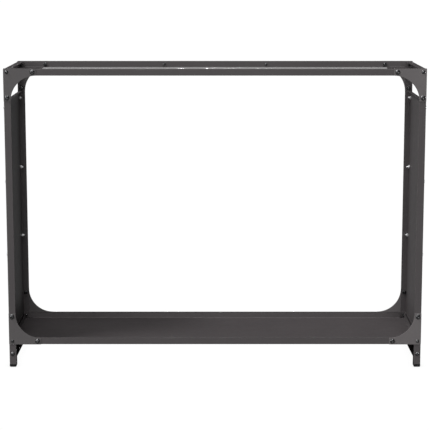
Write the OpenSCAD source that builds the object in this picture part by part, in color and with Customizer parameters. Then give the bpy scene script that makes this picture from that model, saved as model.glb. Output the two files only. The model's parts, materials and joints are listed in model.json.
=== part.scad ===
// Firewood log rack: an open frame of folded steel angle, bolted together through
// eight corner gussets, with a side panel at each end, a drop-in shelf tray and
// four moulded feet.
// X runs along the rack, the front faces -Y and Z is up.
// The origin is on the floor, at the centre of the rack.

/* [Overall size] */
// Width over the legs
rack_w = 1100; // [600:10:1600]
// Depth over the legs
rack_d = 280; // [220:5:500]
// Height from the floor to the top rails
rack_h = 800; // [500:10:1800]
// Height of the underside of the bottom rails
tray_z = 63; // [55:1:120]

/* [Steel angle] */
// Outside width of each flange
flange_w = 18; // [18:1:24]
// Sheet thickness of the legs and rails
angle_t = 1.2; // [1:0.1:1.5]

/* [Corner gussets] */
// Length of each arm, from the outer corner
gusset_len = 85; // [85:1:120]
// Plate thickness
gusset_t = 1.5; // [1:0.1:3]
// Distance from the outer corner to the bolt at each end
gusset_bolt_at = 76; // [60:1:76]

/* [Side panels] */
// Sheet thickness of the side panels
panel_t = 1; // [0.8:0.1:1.2]
// Gap between a panel's top edge and the top side rail
panel_top_gap = 65; // [40:1:120]
// Height of a panel's bottom edge
panel_z0 = 26; // [20:1:40]
// Width of the fold along the top edge
top_fold = 10; // [6:1:16]
// Width of the fold along the bottom edge
bottom_fold = 17; // [10:1:20]
// Distance from a panel's top edge to its first bolt
panel_bolt_drop = 19; // [15:1:40]
// Height of a panel's lowest bolt
panel_bolt_low = 307; // [160:1:320]
// Number of bolts down each leg
panel_bolt_count = 3; // [2:1:5]

/* [Shelf] */
// Sheet thickness of the shelf tray
shelf_t = 1; // [0.8:0.1:1.2]
// Height of the tray's lips, from its underside
shelf_lip = 15.5; // [8:0.5:16]
// Distance from the rack's side to the tray
shelf_gap_x = 8; // [7:0.5:20]
// Distance from the rack's front or back to the tray
shelf_gap_y = 9; // [9:0.5:12]

/* [Feet] */
// Height of the foot below the end of the leg
foot_base_h = 8.5; // [6:0.5:15]
// Height of the top of the insert above the floor
foot_top_z = 45; // [42:1:50]
// Height of the foot screw
foot_screw_z = 36.5; // [32:0.5:38]

/* [Hidden] */
$fn = 64;

// Sides of the rack, as signs along X and Y
LEFT = -1;
RIGHT = 1;
FRONT = -1;
REAR = 1;

// Colours
STEEL = "#504e4e";
GUSSET_STEEL = "#5c5a5a";
BLACK = "#1b1b1c";
ZINC = "#9b9c9e";

// Bends in the sheet metal, and the room left round them
bend_in = 1.2;
bend_out = angle_t + bend_in;
relief = bend_out + 0.6;
gap = 0.3;
slack = 0.2;
joggle_run = 6;

// Positions in a corner, from the outer faces of its leg
bolt_line = flange_w / 2;
tab_end = angle_t + bend_in + 1;
corner_end = flange_w + gap;
panel_edge = angle_t + bend_in + 0.6;
panel_x = angle_t;
low_rail_x = angle_t + panel_t;
corner_plate_x = low_rail_x + angle_t + slack;
corner_plate_y = 3 * angle_t + slack;
side_tab_y = 2 * angle_t;
side_tab_len = flange_w - low_rail_x;

// How far the tray's side lips and its long lips end before its corners
side_lip_end = 4;
long_lip_end = 12;

// Heights
panel_top_z = rack_h - flange_w - panel_top_gap;
panel_bolt_high = panel_top_z - panel_bolt_drop;
panel_bolt_pitch = (panel_bolt_high - panel_bolt_low) / (panel_bolt_count - 1);
corner_bolt_z = [tray_z + bolt_line, rack_h - bolt_line];
leg_bolt_z = [tray_z + gusset_bolt_at, rack_h - gusset_bolt_at];
foot_notch_z = foot_top_z + 1;
shelf_z = tray_z + angle_t;

// Fields of a fastener, in millimetres: the thread's and the head's diameter, the head's height,
// the hex socket's and the nut's width across flats, the shank's length and the nut's height
THREAD = 0;
HEAD_D = 1;
HEAD_H = 2;
SOCKET = 3;
LENGTH = 4;
FLATS = 5;
NUT_H = 6;
GUSSET_FIX = [6, 13, 3.6, 4, 10, 10, 5];
CORNER_FIX = [5, 9, 2.8, 3, 10, 8, 4];
PANEL_FIX = [5, 9, 2.8, 3, 10, 8, 4];
RAIL_FIX = [4, 7.6, 2.2, 2.5, 9, 7, 3.2];
FOOT_FIX = [5, 11, 3.2, 3, 16, 0, 0];
hole_play = 0.5;
thread_play = 0.1;
socket_depth = 0.65;
foot_screw_hole = FOOT_FIX[THREAD] + slack;
foot_hole_depth = FOOT_FIX[LENGTH] + 0.5;
foot_round = 4;
gusset_corner = 2;
rail_bolt_x = 142;
drill_depth = 4;

// Square with one rounded corner at the origin
module rounded_square(size, r) {
    translate([r, 0]) square([size - r, size]);
    translate([0, r]) square([size, size - r]);
    translate([r, r]) circle(r);
}

// L-shaped section with its outer corner at the origin
module angle_section() {
    difference() {
        rounded_square(flange_w, bend_out);
        translate([angle_t, angle_t]) rounded_square(flange_w, bend_in);
    }
}

// Sheet folded towards +Y at both ends of a web that lies along X
module folded_section(web, fold_start, fold_end, t) {
    r = t + bend_in;
    inner = web - 2 * t;
    depth = max(fold_start, fold_end);
    difference() {
        union() {
            translate([r, 0]) square([web - 2 * r, r]);
            translate([0, r]) square([r, fold_start - r]);
            translate([web - r, r]) square([r, fold_end - r]);
            translate([r, r]) circle(r);
            translate([web - r, r]) circle(r);
        }
        translate([t + bend_in, t]) square([inner - 2 * bend_in, depth]);
        translate([t, t + bend_in]) square([inner, depth]);
        translate([t + bend_in, t + bend_in]) circle(bend_in);
        translate([web - t - bend_in, t + bend_in]) circle(bend_in);
    }
}

// Angle along X, its outer corner on the X axis and its flanges along +Y and +Z
module angle_bar(length) {
    rotate([90, 0, 90]) linear_extrude(length, center = true) angle_section();
}

// Moves a child that is drawn in a leg's corner: +X and +Y point into the rack
module in_corner(side, face) {
    translate([side * rack_w / 2, face * rack_d / 2, 0])
        mirror([side == RIGHT ? 1 : 0, 0, 0])
            mirror([0, face == REAR ? 1 : 0, 0]) children();
}

// Moves a child that is drawn on the front or rear face: +Y points into the rack
module on_face(face) {
    translate([0, face * rack_d / 2, 0]) mirror([0, face == REAR ? 1 : 0, 0]) children();
}

// Moves a child that is drawn on the left or right side: +X points into the rack
module on_side(side) {
    translate([side * rack_w / 2, 0, 0]) mirror([side == RIGHT ? 1 : 0, 0, 0]) children();
}

// Moves a child to a rail's outer corner, with +Z towards its upright flange
module from_edge(z, upward) {
    translate([0, 0, z]) mirror([0, 0, upward ? 0 : 1]) children();
}

module all_corners() {
    for (side = [LEFT, RIGHT], face = [FRONT, REAR]) in_corner(side, face) children();
}

// Drill along Y through the sheets at a front or rear face
module y_hole(x, z, d) {
    translate([x, 0, z]) rotate([90, 0, 0]) cylinder(h = 2 * drill_depth, d = d, center = true);
}

// Drill along X through the sheets at a side face
module x_hole(y, z, d) {
    translate([0, y, z]) rotate([0, 90, 0]) cylinder(h = 2 * drill_depth, d = d, center = true);
}

function hole_d(fix) = fix[THREAD] + hole_play;
function panel_bolt_z(i) = panel_bolt_low + i * panel_bolt_pitch;

// Legs

module leg(side, face) {
    color(STEEL) in_corner(side, face) difference() {
        translate([0, 0, foot_base_h]) linear_extrude(rack_h - foot_base_h) angle_section();
        for (z = corner_bolt_z) y_hole(bolt_line, z, hole_d(CORNER_FIX));
        for (z = leg_bolt_z) y_hole(bolt_line, z, hole_d(GUSSET_FIX));
        y_hole(bolt_line, foot_screw_z, hole_d(FOOT_FIX));
        for (i = [0 : panel_bolt_count - 1]) x_hole(bolt_line, panel_bolt_z(i), hole_d(PANEL_FIX));
    }
}

// Front and rear rails

// Tab at a rail's end, stepped back by one sheet so that it lies behind the leg
module joggled_tab() {
    inner_x = corner_end + joggle_run;
    translate([0, 0, relief]) linear_extrude(flange_w - relief) polygon([
        [inner_x, 0], [corner_end, angle_t], [tab_end, angle_t],
        [tab_end, 2 * angle_t], [corner_end, 2 * angle_t], [inner_x, angle_t]
    ]);
}

// One end of a rail, drawn in a leg's corner
module long_rail_end() {
    joggled_tab();
    translate([corner_plate_x, corner_plate_y, 0])
        cube([corner_end - corner_plate_x, flange_w - corner_plate_y, angle_t]);
}

module long_rail(face, z, upward) {
    free_w = rack_w - 2 * corner_end;
    color(STEEL) difference() {
        union() {
            on_face(face) from_edge(z, upward) difference() {
                angle_bar(free_w);
                for (side = [LEFT, RIGHT]) mirror([side == RIGHT ? 1 : 0, 0, 0])
                    translate([-free_w / 2 - gap, -gap, relief])
                        cube([joggle_run + gap, angle_t + 2 * gap, flange_w]);
            }
            for (side = [LEFT, RIGHT]) in_corner(side, face) from_edge(z, upward) long_rail_end();
        }
        for (side = [LEFT, RIGHT]) in_corner(side, face) from_edge(z, upward) {
            y_hole(bolt_line, bolt_line, hole_d(CORNER_FIX));
            y_hole(gusset_bolt_at, bolt_line, hole_d(GUSSET_FIX));
        }
    }
}

module rear_top_rail() {
    color(STEEL) difference() {
        long_rail(REAR, rack_h - flange_w, true);
        on_face(REAR) for (x = [-rail_bolt_x, rail_bolt_x])
            y_hole(x, rack_h - bolt_line, hole_d(RAIL_FIX));
    }
}

// Side rails

// Drawn on the left side, its web's outer face on X = 0
module side_rail(side, x, z, upward) {
    web = rack_d - 2 * side_tab_y;
    color(STEEL) on_side(side) translate([x, 0, 0]) from_edge(z, upward) difference() {
        union() {
            translate([0, -web / 2, relief]) linear_extrude(flange_w - relief)
                mirror([1, 0, 0]) rotate(90) folded_section(web, side_tab_len, side_tab_len, angle_t);
            mirror([1, 0, 0]) rotate(90) angle_bar(rack_d - 2 * corner_end);
        }
        for (end = [FRONT, REAR]) translate([0, end * web / 2, 0])
            y_hole(bolt_line - x, bolt_line, hole_d(CORNER_FIX));
    }
}

// Side panels and shelf

module side_panel(side) {
    panel_h = panel_top_z - panel_z0;
    panel_w = rack_d - 2 * panel_edge;
    color(STEEL) on_side(side) translate([panel_x, 0, 0]) difference() {
        translate([0, panel_w / 2, panel_z0]) mirror([1, 0, 0]) rotate([90, -90, 0])
            linear_extrude(panel_w) folded_section(panel_h, bottom_fold, top_fold, panel_t);
        for (face = [FRONT, REAR]) mirror([0, face == REAR ? 1 : 0, 0]) translate([0, -rack_d / 2, 0])
            panel_corner_cuts();
    }
}

// Cuts at one upright edge of a panel: foot notch, trimmed folds and bolt holes
module panel_corner_cuts() {
    translate([-gap, 0, 0]) cube([flange_w + 2 * gap, corner_end, foot_notch_z]);
    translate([panel_t, 0, panel_top_z - relief]) cube([flange_w, corner_end, 2 * relief]);
    for (i = [0 : panel_bolt_count - 1]) x_hole(bolt_line, panel_bolt_z(i), hole_d(PANEL_FIX));
}

// A tray: a flat floor with a lip folded up along each of its four edges
module shelf_panel() {
    shelf_w = rack_w - 2 * shelf_gap_x;
    shelf_d = rack_d - 2 * shelf_gap_y;
    color(STEEL) translate([0, 0, shelf_z]) {
        translate([-shelf_w / 2, 0, 0]) rotate([90, 0, 0])
            linear_extrude(shelf_d - 2 * side_lip_end, center = true)
                folded_section(shelf_w, shelf_lip, shelf_lip, shelf_t);
        translate([0, -shelf_d / 2, 0]) rotate([90, 0, 90])
            linear_extrude(shelf_w - 2 * long_lip_end, center = true)
                folded_section(shelf_d, shelf_lip, shelf_lip, shelf_t);
    }
}

// Gussets

// Drawn in a corner, its arms along +X and +Z
module gusset_plate() {
    rotate([90, 0, 0]) linear_extrude(gusset_t) difference() {
        rounded_square(gusset_len, gusset_corner);
        translate([gusset_len, gusset_len]) circle(gusset_len - flange_w, $fn = 128);
        translate([bolt_line, bolt_line]) circle(d = hole_d(CORNER_FIX));
        translate([bolt_line, gusset_bolt_at]) circle(d = hole_d(GUSSET_FIX));
        translate([gusset_bolt_at, bolt_line]) circle(d = hole_d(GUSSET_FIX));
    }
}

module gusset(side, face, top) {
    color(GUSSET_STEEL) in_corner(side, face)
        from_edge(top ? rack_h : tray_z, !top) gusset_plate();
}

// Feet

// Square of a foot's outline, rounded along its bottom edges
module foot_profile() {
    translate([0, foot_round]) square([flange_w, foot_top_z - foot_round]);
    translate([foot_round, 0]) square([flange_w - 2 * foot_round, foot_round]);
    for (x = [foot_round, flange_w - foot_round]) translate([x, foot_round]) circle(foot_round);
}

module foot(side, face) {
    color(BLACK) in_corner(side, face) difference() {
        intersection() {
            translate([0, flange_w, 0]) rotate([90, 0, 0]) linear_extrude(flange_w) foot_profile();
            rotate([90, 0, 90]) linear_extrude(flange_w) foot_profile();
        }
        foot_leg_seat();
        translate([bolt_line, 0, foot_screw_z])
            rotate([-90, 0, 0]) cylinder(h = foot_hole_depth, d = foot_screw_hole);
    }
}

// Space that the leg takes at a foot's two outer faces
module foot_leg_seat() {
    seat = bend_out + slack;
    translate([-1, -1, foot_base_h]) cube([1 + angle_t, flange_w + 2, foot_top_z]);
    translate([-1, -1, foot_base_h]) cube([flange_w + 2, 1 + angle_t, foot_top_z]);
    translate([-1, -1, foot_base_h]) cube([1 + seat, 1 + seat, foot_top_z]);
}

// Fasteners

// Domed head below Z = 0 with a hex socket, shank along +Z
module bolt(fix) {
    r = fix[HEAD_D] / 2;
    h = fix[HEAD_H];
    rim = 0.35 * h;
    drop = (r * r + rim * rim - h * h) / (2 * (h - rim));
    color(BLACK) difference() {
        union() {
            intersection() {
                translate([0, 0, -h]) cylinder(h = h, r = r);
                translate([0, 0, drop]) sphere(h + drop, $fn = 96);
            }
            cylinder(h = fix[LENGTH], d = fix[THREAD]);
        }
        translate([0, 0, -h - 1]) cylinder(h = 1 + socket_depth * h, d = fix[SOCKET] / cos(30), $fn = 6);
    }
}

// Hex nut on Z = 0 with chamfered corners
module nut(fix) {
    across = fix[FLATS] / cos(30);
    h = fix[NUT_H];
    lip = 0.12 * h;
    difference() {
        intersection() {
            cylinder(h = h, d = across, $fn = 6);
            union() {
                cylinder(h = lip, d1 = across - 2 * lip, d2 = across + 0.1);
                translate([0, 0, lip]) cylinder(h = h - 2 * lip, d = across + 0.1);
                translate([0, 0, h - lip]) cylinder(h = lip, d1 = across + 0.1, d2 = across - 2 * lip);
            }
        }
        translate([0, 0, -1]) cylinder(h = h + 2, d = fix[THREAD] + thread_play);
    }
}

// Places a fastener on a front or rear face, pointing into the rack
module facing_y(x, y, z) {
    translate([x, y, z]) rotate([-90, 0, 0]) children();
}

// Places a fastener on a side face, pointing into the rack
module facing_x(x, y, z) {
    translate([x, y, z]) rotate([0, 90, 0]) children();
}

// Places of the two end bolts of both gussets in a corner
module at_gusset_ends(y) {
    for (z = leg_bolt_z) facing_y(bolt_line, y, z) children();
    for (z = corner_bolt_z) facing_y(gusset_bolt_at, y, z) children();
}

module gusset_bolts() {
    color(BLACK) all_corners() at_gusset_ends(-gusset_t) bolt(GUSSET_FIX);
}

module gusset_nuts() {
    color(BLACK) all_corners() at_gusset_ends(angle_t) nut(GUSSET_FIX);
}

module corner_bolts() {
    color(BLACK) all_corners()
        for (z = corner_bolt_z) facing_y(bolt_line, -gusset_t, z) bolt(CORNER_FIX);
}

module corner_nuts() {
    color(BLACK) all_corners()
        for (z = corner_bolt_z) facing_y(bolt_line, 3 * angle_t, z) nut(CORNER_FIX);
}

module panel_bolts() {
    color(ZINC) all_corners()
        for (i = [0 : panel_bolt_count - 1]) facing_x(0, bolt_line, panel_bolt_z(i)) bolt(PANEL_FIX);
}

module panel_nuts() {
    color(ZINC) all_corners() for (i = [0 : panel_bolt_count - 1])
        facing_x(angle_t + panel_t, bolt_line, panel_bolt_z(i)) nut(PANEL_FIX);
}

module foot_screws() {
    color(BLACK) all_corners() facing_y(bolt_line, 0, foot_screw_z) bolt(FOOT_FIX);
}

module rail_bolts() {
    color(BLACK) on_face(REAR) for (x = [-rail_bolt_x, rail_bolt_x])
        facing_y(x, 0, rack_h - bolt_line) bolt(RAIL_FIX);
}

module rail_nuts() {
    color(BLACK) on_face(REAR) for (x = [-rail_bolt_x, rail_bolt_x])
        facing_y(x, angle_t, rack_h - bolt_line) nut(RAIL_FIX);
}

leg(LEFT, FRONT);  // front_left_leg
leg(RIGHT, FRONT);  // front_right_leg
leg(LEFT, REAR);  // rear_left_leg
leg(RIGHT, REAR);  // rear_right_leg
long_rail(FRONT, rack_h, false);  // front_top_rail
rear_top_rail();
long_rail(FRONT, tray_z, true);  // front_bottom_rail
long_rail(REAR, tray_z, true);  // rear_bottom_rail
side_rail(LEFT, angle_t, rack_h, false);  // left_top_rail
side_rail(RIGHT, angle_t, rack_h, false);  // right_top_rail
side_rail(LEFT, low_rail_x, tray_z, true);  // left_bottom_rail
side_rail(RIGHT, low_rail_x, tray_z, true);  // right_bottom_rail
side_panel(LEFT);  // left_side_panel
side_panel(RIGHT);  // right_side_panel
shelf_panel();
gusset(LEFT, FRONT, true);  // front_top_left_gusset
gusset(RIGHT, FRONT, true);  // front_top_right_gusset
gusset(LEFT, FRONT, false);  // front_bottom_left_gusset
gusset(RIGHT, FRONT, false);  // front_bottom_right_gusset
gusset(LEFT, REAR, true);  // rear_top_left_gusset
gusset(RIGHT, REAR, true);  // rear_top_right_gusset
gusset(LEFT, REAR, false);  // rear_bottom_left_gusset
gusset(RIGHT, REAR, false);  // rear_bottom_right_gusset
foot(LEFT, FRONT);  // front_left_foot
foot(RIGHT, FRONT);  // front_right_foot
foot(LEFT, REAR);  // rear_left_foot
foot(RIGHT, REAR);  // rear_right_foot
gusset_bolts();
gusset_nuts();
corner_bolts();
corner_nuts();
panel_bolts();
panel_nuts();
foot_screws();
rail_bolts();
rail_nuts();
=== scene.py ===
"""Looks for the firewood log rack: powder-coated sheet steel, fasteners, moulded feet and a white studio."""
import json
import math

import bmesh
import bpy
from mathutils import Matrix, Vector


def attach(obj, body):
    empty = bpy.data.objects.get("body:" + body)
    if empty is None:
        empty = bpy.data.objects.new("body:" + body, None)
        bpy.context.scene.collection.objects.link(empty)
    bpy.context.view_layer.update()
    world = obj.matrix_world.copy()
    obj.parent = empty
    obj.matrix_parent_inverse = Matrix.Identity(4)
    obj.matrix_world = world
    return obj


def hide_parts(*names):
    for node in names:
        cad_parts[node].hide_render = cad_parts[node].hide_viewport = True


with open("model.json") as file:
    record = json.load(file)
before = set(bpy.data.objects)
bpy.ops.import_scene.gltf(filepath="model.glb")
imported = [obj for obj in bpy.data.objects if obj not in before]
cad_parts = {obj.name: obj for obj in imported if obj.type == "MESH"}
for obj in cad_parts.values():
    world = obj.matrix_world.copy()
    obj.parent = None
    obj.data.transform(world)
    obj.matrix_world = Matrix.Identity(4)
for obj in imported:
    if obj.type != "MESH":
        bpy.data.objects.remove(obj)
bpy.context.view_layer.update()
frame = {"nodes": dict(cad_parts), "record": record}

MM = 0.001
TURN = 2 * math.pi
BODY = "root"
SLOTS = {entry["node"]: entry["material_slot"] for entry in frame["record"]["subparts"]}

# The fasteners of each CAD node, in millimetres. Heads and nuts sit where the CAD puts them, and a thread
# starts thread_from below the head.
GUSSET = {"thread": 6, "pitch": 1.0, "head": 13, "head_h": 3.6, "socket": 4, "length": 10, "thread_from": 3.0,
          "flats": 10, "nut_h": 5}
SMALL = {"thread": 5, "pitch": 0.8, "head": 9, "head_h": 2.8, "socket": 3, "length": 10, "thread_from": 4.0,
         "flats": 8, "nut_h": 4}
RAIL = {"thread": 4, "pitch": 0.7, "head": 7.6, "head_h": 2.2, "socket": 2.5, "length": 9, "thread_from": 3.0,
        "flats": 7, "nut_h": 3.2}
FOOT = {"thread": 5, "pitch": 0.8, "head": 11, "head_h": 3.2, "socket": 3, "length": 16, "thread_from": 6.0}

# What all the fasteners share: shares of a head's height or of a thread's pitch, and millimetres
RIM_SHARE = 0.35
SOCKET_FLOOR_SHARE = 0.35
THREAD_DEPTH_SHARE = 0.61
END_CHAMFER_SHARE = 0.6
SOCKET_LAND = 0.25

# Small roundings of a bolt, each a few (change of radius, height) points in millimetres
SOCKET_LIP = ((0.0, 0.30), (0.06, 0.10))
HEAD_EDGE = ((0.0, -0.3), (-0.06, -0.08), (-0.25, 0.0))
NECK = ((0.1, 0.0), (0.0, 0.2))

# How finely a fastener is built, and one step of the turn that tells it from its neighbours
SEGMENTS = 36
DOME_STEPS = 8
THREAD_STEPS = 8
SPIN_STEP = math.radians(23)

# Edges of the sheet-metal parts and of the feet
FLAT_ANGLE = math.radians(0.3)
SHARP_ANGLE = math.radians(40)
SHEET_EDGE = {"width": 0.3 * MM, "segments": 3}
FOOT_EDGE = {"width": 0.6 * MM, "segments": 4}


# Shader helpers


def new_material(name):
    """A node material and its Principled shader."""
    material = bpy.data.materials.new(name)
    material.use_nodes = True
    return material, material.node_tree.nodes["Principled BSDF"]


def link(material, socket, target):
    material.node_tree.links.new(socket, target)


def add_node(material, kind, links=None, **inputs):
    """Adds a shader node, sets its inputs by name and links the ones given as sockets."""
    made = material.node_tree.nodes.new(kind)
    for key, value in inputs.items():
        made.inputs[key].default_value = value
    for key, socket in (links or {}).items():
        link(material, socket, made.inputs[key])
    return made


def object_point(material):
    return add_node(material, "ShaderNodeTexCoord").outputs["Object"]


def noise(material, point, scale, detail, roughness=0.5):
    made = add_node(material, "ShaderNodeTexNoise", {"Vector": point}, Scale=scale, Detail=detail,
                    Roughness=roughness)
    return made.outputs["Fac"]


def remap(material, value, low=0.0, high=1.0, from_low=0.3, from_high=0.7):
    """Maps from_low..from_high, by default the middle of a noise, to low..high."""
    made = add_node(material, "ShaderNodeMapRange", {"Value": value})
    for key, number in (("From Min", from_low), ("From Max", from_high), ("To Min", low), ("To Max", high)):
        made.inputs[key].default_value = number
    return made.outputs["Result"]


def mix_colours(material, fac, first, second):
    """Blends two colours, given as RGB or as sockets, by a 0 to 1 value."""
    made = add_node(material, "ShaderNodeMix")
    made.data_type = "RGBA"
    colour_in = [s for s in made.inputs if s.type == "RGBA"]
    for socket, colour in zip(colour_in, (first, second)):
        if isinstance(colour, bpy.types.NodeSocket):
            link(material, colour, socket)
        else:
            socket.default_value = (*colour, 1)
    link(material, fac, made.inputs["Factor"])
    return next(s for s in made.outputs if s.type == "RGBA")


def shade(base, factor, lift=0.0):
    """A lighter or darker version of an RGB colour."""
    return [c * factor + lift for c in base]


def edge_mask(material, radius):
    """1 on an edge and 0 on a flat face, from how far a rounded normal leans from the true one."""
    rounded = add_node(material, "ShaderNodeBevel", Radius=radius)
    rounded.samples = 6
    true = add_node(material, "ShaderNodeNewGeometry")
    normals = {0: rounded.outputs["Normal"], 1: true.outputs["Normal"]}
    lean = add_node(material, "ShaderNodeVectorMath", normals)
    lean.operation = "DOT_PRODUCT"
    return remap(material, lean.outputs["Value"], low=1.0, high=0.0, from_low=0.80, from_high=0.985)


def bump(material, height, strength, distance, normal=None):
    """A surface normal raised by height, on top of another bump if one is given."""
    links = {"Height": height}
    if normal is not None:
        links["Normal"] = normal
    return add_node(material, "ShaderNodeBump", links, Strength=strength, Distance=distance).outputs["Normal"]


# Materials


def powder_coat(name, base):
    """Satin anthracite powder coat: fine grain, faint mottling, a smoother coat along edges and a painted
    highlight there.
    """
    material, shader = new_material(name)
    point = object_point(material)
    mottle = remap(material, noise(material, point, scale=9, detail=4.0))
    grain = noise(material, point, scale=1400, detail=2.0, roughness=0.6)
    fleck = noise(material, point, scale=620, detail=2.0)
    edge = edge_mask(material, radius=0.6 * MM)
    mottled = mix_colours(material, mottle, shade(base, 0.95), shade(base, 1.05))
    speck = remap(material, fleck, high=0.2, from_low=0.56, from_high=0.72)
    specked = mix_colours(material, speck, mottled, shade(base, 1.9, lift=0.01))
    # Painted highlight: the colour is lightened along edges, standing in for the light that rounded edges
    # catch
    painted_edge_highlight = remap(material, edge, high=0.9, from_low=0.1, from_high=0.9)
    coat = mix_colours(material, painted_edge_highlight, specked, shade(base, 2.6, lift=0.02))
    link(material, coat, shader.inputs["Base Color"])
    satin = remap(material, noise(material, point, scale=55, detail=5.0), low=0.50, high=0.55)
    polish = remap(material, edge, low=1.0, high=0.7, from_low=0.1, from_high=0.9)
    smoother = add_node(material, "ShaderNodeMath", {0: satin, 1: polish})
    smoother.operation = "MULTIPLY"
    link(material, smoother.outputs["Value"], shader.inputs["Roughness"])
    peel = bump(material, noise(material, point, scale=420, detail=2.0), strength=0.22, distance=0.10 * MM)
    grainy = bump(material, grain, strength=0.30, distance=0.06 * MM, normal=peel)
    link(material, grainy, shader.inputs["Normal"])
    shader.inputs["Specular IOR Level"].default_value = 0.42
    return material


def moulded_plastic(name, base):
    """Black moulded plastic with a fine spark-eroded grain."""
    material, shader = new_material(name)
    point = object_point(material)
    tone = remap(material, noise(material, point, scale=90, detail=3.0))
    matt = remap(material, noise(material, point, scale=240, detail=3.0), low=0.50, high=0.66)
    grain = noise(material, point, scale=1800, detail=2.0)
    colour = mix_colours(material, tone, shade(base, 0.8), shade(base, 1.5))
    link(material, colour, shader.inputs["Base Color"])
    link(material, matt, shader.inputs["Roughness"])
    link(material, bump(material, grain, strength=0.5, distance=0.08 * MM), shader.inputs["Normal"])
    shader.inputs["Specular IOR Level"].default_value = 0.2
    return material


def plated_steel(name, base, roughness):
    """Plated fastener steel: metallic, with cloudy plating and fine tool marks."""
    material, shader = new_material(name)
    point = object_point(material)
    cloud = remap(material, noise(material, point, scale=300, detail=4.0))
    worn = remap(material, noise(material, point, scale=900, detail=3.0), roughness - 0.07, roughness + 0.09)
    marks = noise(material, point, scale=2600, detail=2.0)
    colour = mix_colours(material, cloud, shade(base, 0.75), shade(base, 1.25))
    link(material, colour, shader.inputs["Base Color"])
    link(material, worn, shader.inputs["Roughness"])
    link(material, bump(material, marks, strength=0.3, distance=0.04 * MM), shader.inputs["Normal"])
    shader.inputs["Metallic"].default_value = 0.9
    return material


COATS = {
    "frame_steel": powder_coat("frame_coat", (0.0515, 0.0458, 0.0472)),
    # Painted shade: the side panels' coat is a darker copy of the frame coat, for the shade on their inner
    # faces
    "panel_steel": powder_coat("shaded_panel_coat", (0.0460, 0.0410, 0.0422)),
    # Painted light: the shelf gets a paler copy of the panel coat, for the light that falls on it
    "lit_shelf_steel": powder_coat("lit_shelf_coat", (0.0548, 0.0486, 0.0500)),
    # Painted light: the gusset coat is a paler copy of the frame coat, for the brighter light on the gussets
    "gusset_steel": powder_coat("gusset_coat", (0.0680, 0.0630, 0.0640)),
    # Painted light: a paler copy of the gusset coat for the right-hand gussets, for the stronger light they
    # catch
    "lit_gusset_steel": powder_coat("lit_gusset_coat", (0.0990, 0.0910, 0.0925)),
    "foot_plastic": moulded_plastic("foot_plastic", (0.007, 0.007, 0.0075)),
    "black_fasteners": plated_steel("black_plating", (0.075, 0.075, 0.077), 0.22),
    "zinc_fasteners": plated_steel("zinc_plating", (0.86, 0.86, 0.87), 0.44),
}


# Sheet-metal parts and feet keep their CAD shape and get soft edges


def soften(part, width, segments):
    """Joins the imported triangles into whole faces and rounds their sharp edges, with modifiers only."""
    mesh = part.data
    if "custom_normal" in mesh.attributes:
        mesh.attributes.remove(mesh.attributes["custom_normal"])
    for polygon in mesh.polygons:
        polygon.use_smooth = True
    weld = part.modifiers.new("weld", "WELD")
    weld.merge_threshold = 0.001 * MM
    join = part.modifiers.new("join", "DECIMATE")
    join.decimate_type = "DISSOLVE"
    join.angle_limit = FLAT_ANGLE
    bevel = part.modifiers.new("bevel", "BEVEL")
    bevel.width = width
    bevel.segments = segments
    bevel.limit_method = "ANGLE"
    bevel.angle_limit = SHARP_ANGLE
    bevel.harden_normals = True
    bevel.miter_outer = "MITER_ARC"
    part.modifiers.new("normals", "WEIGHTED_NORMAL").keep_sharp = True


def give_material(part, material):
    part.data.materials.clear()
    part.data.materials.append(material)


def coat_of(node, slot):
    """The coat of a slot; the right-hand gussets and the shelf get paler copies of their coats, painted light
    for the stronger light they catch.
    """
    if slot == "gusset_steel" and "right" in node:
        return COATS["lit_gusset_steel"]
    if node == "shelf_panel":
        return COATS["lit_shelf_steel"]
    return COATS[slot]


def finish_cad_parts():
    for name, part in frame["nodes"].items():
        slot = SLOTS[name]
        give_material(part, coat_of(name, slot))
        if slot == "foot_plastic":
            soften(part, **FOOT_EDGE)
        elif "fasteners" not in slot:
            soften(part, **SHEET_EDGE)


# Fasteners, built along +Z with the underside of the head, or of the nut, on Z = 0


def hexagon_radius(angle, flats):
    """Distance from the centre to a hexagon's edge at an angle."""
    sector = TURN / 6
    return flats / 2 / math.cos((angle % sector) - sector / 2)


def ring(radius, z):
    """A circle of points; radius and z are numbers, or functions of the angle."""
    points = []
    for i in range(SEGMENTS):
        angle = TURN * i / SEGMENTS
        r = radius(angle) if callable(radius) else radius
        height = z(angle) if callable(z) else z
        points.append((r * math.cos(angle), r * math.sin(angle), height))
    return points


def skin_mesh(rings, capped):
    """Joins rings of equal length into a skin; capped closes its two ends, or else they meet in a loop."""
    mesh = bmesh.new()
    made = [[mesh.verts.new(point) for point in points] for points in rings]
    following = made[1:] if capped else made[1:] + made[:1]
    for lower, upper in zip(made, following):
        for i in range(SEGMENTS):
            j = (i + 1) % SEGMENTS
            mesh.faces.new((lower[i], lower[j], upper[j], upper[i]))
    if capped:
        mesh.faces.new(made[0])
        mesh.faces.new(made[-1])
    return mesh


def thread_rings(size):
    """Rings of a screw thread from its start to the end of the bolt, where it has a short chamfer."""
    start, end, pitch = size["thread_from"], size["length"], size["pitch"]
    major = size["thread"] / 2
    depth = THREAD_DEPTH_SHARE * pitch
    chamfer_start = end - END_CHAMFER_SHARE * pitch
    chamfer_slope = 0.9
    count = int((end - start) / pitch * THREAD_STEPS)
    rings = []
    for k in range(count + 1):
        z = start + (end - start) * k / count
        taper = max(0.0, z - chamfer_start) * chamfer_slope

        def radius(angle, z=z, taper=taper):
            phase = (z / pitch - angle / TURN) % 1.0
            cut = depth * (1 - abs(2 * phase - 1))
            return major - max(cut, taper)

        rings.append(ring(radius, z))
    return rings


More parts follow.
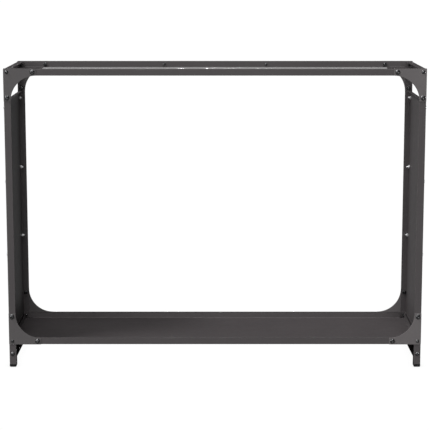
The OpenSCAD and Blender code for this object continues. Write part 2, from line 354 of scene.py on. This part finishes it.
def bolt_mesh(size):
    """A domed head with a hex socket, a plain shank and a thread, as one closed skin."""
    head_r = size["head"] / 2
    height = size["head_h"]
    shank_r = size["thread"] / 2
    rim = RIM_SHARE * height
    drop = (head_r ** 2 + rim ** 2 - height ** 2) / (2 * (height - rim))
    sphere_r = height + drop
    socket_rim = size["socket"] / math.sqrt(3) + SOCKET_LAND
    socket_floor = -SOCKET_FLOOR_SHARE * height
    floor_share = 0.9
    floor_corner = 0.12
    rim_corner = 0.12
    rim_inset = 0.04
    shank_gap = 0.3

    def dome(r):
        return -(math.sqrt(sphere_r ** 2 - r ** 2) - drop)

    def socket(angle, wider=0.0):
        return hexagon_radius(angle, size["socket"]) + wider

    skin = [
        ring(lambda a: socket(a) * floor_share, socket_floor),
        ring(socket, socket_floor - floor_corner),
    ]
    for wider, below in SOCKET_LIP:
        skin.append(ring(lambda a, wider=wider: socket(a, wider), dome(socket_rim) + below))
    for step in range(DOME_STEPS):
        share = step / DOME_STEPS
        r = head_r * share + socket_rim * (1 - share)
        skin.append(ring(r - rim_inset * share, dome(r)))
    skin.append(ring(head_r, rim_corner - rim))
    skin += [ring(head_r + change, z) for change, z in HEAD_EDGE]
    skin += [ring(shank_r + change, z) for change, z in NECK]
    skin.append(ring(shank_r, size["thread_from"] - shank_gap))
    return skin_mesh(skin + thread_rings(size), True)


def nut_mesh(size):
    """A hex nut with conical chamfers on both faces and a countersunk bore."""
    height = size["nut_h"]
    inner = size["flats"] / 2
    bore = size["thread"] / 2 + 0.05
    sink = bore + 0.45
    sink_depth = 0.5
    face = inner - 0.25
    chamfer = 0.15
    slope = math.tan(math.radians(30))

    def side(angle):
        return hexagon_radius(angle, size["flats"])

    def top(angle):
        return height - chamfer - (side(angle) - inner) * slope

    def bottom(angle):
        return chamfer + (side(angle) - inner) * slope

    return skin_mesh([
        ring(bore, sink_depth), ring(sink, 0.0), ring(face, 0.0), ring(side, bottom),
        ring(side, top), ring(face, height), ring(sink, height), ring(bore, height - sink_depth),
    ], False)


def islands(part):
    """Lowest and highest corner of each separate solid in a CAD node."""
    mesh = bmesh.new()
    mesh.from_mesh(part.data)
    bmesh.ops.remove_doubles(mesh, verts=mesh.verts, dist=0.001 * MM)
    unseen = set(mesh.verts)
    boxes = []
    while unseen:
        stack = [unseen.pop()]
        found = []
        while stack:
            vertex = stack.pop()
            found.append(vertex.co.copy())
            for edge in vertex.link_edges:
                other = edge.other_vert(vertex)
                if other in unseen:
                    unseen.remove(other)
                    stack.append(other)
        low = Vector([min(p[i] for p in found) for i in range(3)])
        high = Vector([max(p[i] for p in found) for i in range(3)])
        boxes.append((low, high))
    mesh.free()
    return sorted(boxes, key=lambda b: tuple(round(c, 4) for c in b[0]))


def place_at(box, along, seat):
    """Frame of a fastener: +Z points into the rack, and seat is how far Z = 0 lies from its outer end."""
    low, high = box
    centre = (low + high) / 2
    outward = 1 if centre[along] > 0 else -1
    inward = Vector((0, 0, 0))
    inward[along] = -outward
    start = centre.copy()
    start[along] = (high if outward > 0 else low)[along] - outward * seat
    turn = inward.to_track_quat("Z", "X").to_matrix().to_4x4()
    return Matrix.Translation(start) @ turn


def fasteners(node, mesh, along, seat):
    """One object that holds a copy of the mesh at each of the CAD node's solids, each turned a little."""
    name = node + "_detail"
    source = bpy.data.meshes.new(name + "_one")
    bmesh.ops.recalc_face_normals(mesh, faces=mesh.faces)
    mesh.to_mesh(source)
    mesh.free()
    joined = bmesh.new()
    for i, box in enumerate(islands(frame["nodes"][node])):
        # 7 and 11 share no factor, so neighbours are turned by different numbers of steps
        turn = Matrix.Rotation(SPIN_STEP * (i * 7 % 11), 4, "Z")
        place = place_at(box, along, seat) @ turn @ Matrix.Scale(MM, 4)
        first = len(joined.verts)
        joined.from_mesh(source)
        joined.verts.ensure_lookup_table()
        bmesh.ops.transform(joined, matrix=place, verts=joined.verts[first:])
    data = bpy.data.meshes.new(name)
    joined.to_mesh(data)
    joined.free()
    bpy.data.meshes.remove(source)
    made = bpy.data.objects.new(name, data)
    bpy.context.scene.collection.objects.link(made)
    data.polygons.foreach_set("use_smooth", [True] * len(data.polygons))
    data.set_sharp_from_angle(angle=math.radians(32))
    slot = SLOTS[node]
    give_material(made, COATS[slot])
    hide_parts(node)
    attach(made, BODY)


def build_fasteners():
    x, y = 0, 1
    pairs = (("gusset", GUSSET, y), ("corner", SMALL, y), ("panel", SMALL, x), ("rail", RAIL, y))
    for group, size, along in pairs:
        fasteners(group + "_bolts", bolt_mesh(size), along, size["head_h"] * MM)
        fasteners(group + "_nuts", nut_mesh(size), along, 0.0)
    fasteners("foot_screws", bolt_mesh(FOOT), y, FOOT["head_h"] * MM)


# Studio


def camera_ray(tree):
    return tree.nodes.new("ShaderNodeLightPath").outputs["Is Camera Ray"]


def build_floor():
    """A white sweep: a plain white ground with a faint contact shade, which throws little light back up."""
    half = 40.0
    grey = 0.2
    data = bpy.data.meshes.new("floor")
    corners = [(-half, -half, 0), (half, -half, 0), (half, half, 0), (-half, half, 0)]
    data.from_pydata(corners, [], [(0, 1, 2, 3)])
    floor = bpy.data.objects.new("floor", data)
    bpy.context.scene.collection.objects.link(floor)
    material, shader = new_material("floor_white")
    shader.inputs["Base Color"].default_value = (grey, grey, grey, 1)
    shader.inputs["Roughness"].default_value = 0.9
    shader.inputs["Specular IOR Level"].default_value = 0.1
    contact = add_node(material, "ShaderNodeAmbientOcclusion", Distance=50 * MM)
    contact.samples = 12
    glow = remap(material, contact.outputs["AO"], low=0.86, high=1.02, from_low=0.2, from_high=0.9)
    white = add_node(material, "ShaderNodeEmission", {"Strength": glow})
    parts = {0: camera_ray(material.node_tree), 1: shader.outputs["BSDF"], 2: white.outputs["Emission"]}
    seen = add_node(material, "ShaderNodeMixShader", parts)
    link(material, seen.outputs["Shader"], material.node_tree.nodes["Material Output"].inputs["Surface"])
    data.materials.append(material)


def build_world():
    """White where the camera sees it, and dim where it lights the rack."""
    world = bpy.data.worlds.new("studio")
    bpy.context.scene.world = world
    world.use_nodes = True
    tree = world.node_tree
    background = tree.nodes["Background"]
    background.inputs["Color"].default_value = (1, 1, 1, 1)
    strength = tree.nodes.new("ShaderNodeMapRange")
    strength.inputs["To Min"].default_value = 0.06
    strength.inputs["To Max"].default_value = 1.02
    tree.links.new(camera_ray(tree), strength.inputs["Value"])
    tree.links.new(strength.outputs["Result"], background.inputs["Strength"])
    bpy.context.scene.view_settings.view_transform = "Standard"


def soft_sun(name, toward, spread, power):
    """A large far softbox; toward points from the rack to the light, and spread is in degrees."""
    data = bpy.data.lights.new(name, "SUN")
    data.angle = math.radians(spread)
    data.energy = power
    lamp = bpy.data.objects.new(name, data)
    lamp.rotation_mode = "QUATERNION"
    lamp.rotation_quaternion = (-Vector(toward)).to_track_quat("-Z", "Y")
    bpy.context.scene.collection.objects.link(lamp)


def build_lights():
    soft_sun("key_left", toward=(-1.0, -0.35, 1.38), spread=16, power=2.45)
    soft_sun("low_front_left", toward=(-1.0, -1.0, 0.35), spread=24, power=0.95)
    soft_sun("front_left", toward=(-0.55, -1.0, 0.6), spread=24, power=0.2)
    soft_sun("front", toward=(0.05, -1.0, 0.25), spread=16, power=0.72)
    soft_sun("high_front", toward=(0.03, -1.0, 1.8), spread=20, power=1.35)
    soft_sun("back_left", toward=(-1.0, 1.0, 0.5), spread=30, power=0.3)
    soft_sun("back_right", toward=(1.0, 1.0, 0.5), spread=30, power=0.06)
    # Level light from the right and from behind reaches only those outer faces
    soft_sun("right_side", toward=(1.0, 0.0, 0.0), spread=3, power=1.3)
    soft_sun("behind", toward=(0.0, 1.0, 0.0), spread=3, power=2.3)


def build_camera():
    """A long lens in front of the rack, a little above its top and tipped down."""
    distance = 3.76
    height = 1.083
    tip_down = 8.7
    data = bpy.data.cameras.new("camera")
    data.lens = 116.9
    data.shift_y = -0.10
    data.clip_end = 200
    camera = bpy.data.objects.new("camera", data)
    camera.location = (0, -distance, height)
    camera.rotation_euler = (math.radians(90 - tip_down), 0, 0)
    bpy.context.scene.collection.objects.link(camera)
    bpy.context.scene.camera = camera


def write_sizes():
    bpy.context.view_layer.update()


build_camera()
finish_cad_parts()
build_fasteners()
build_floor()
build_world()
build_lights()
write_sizes()
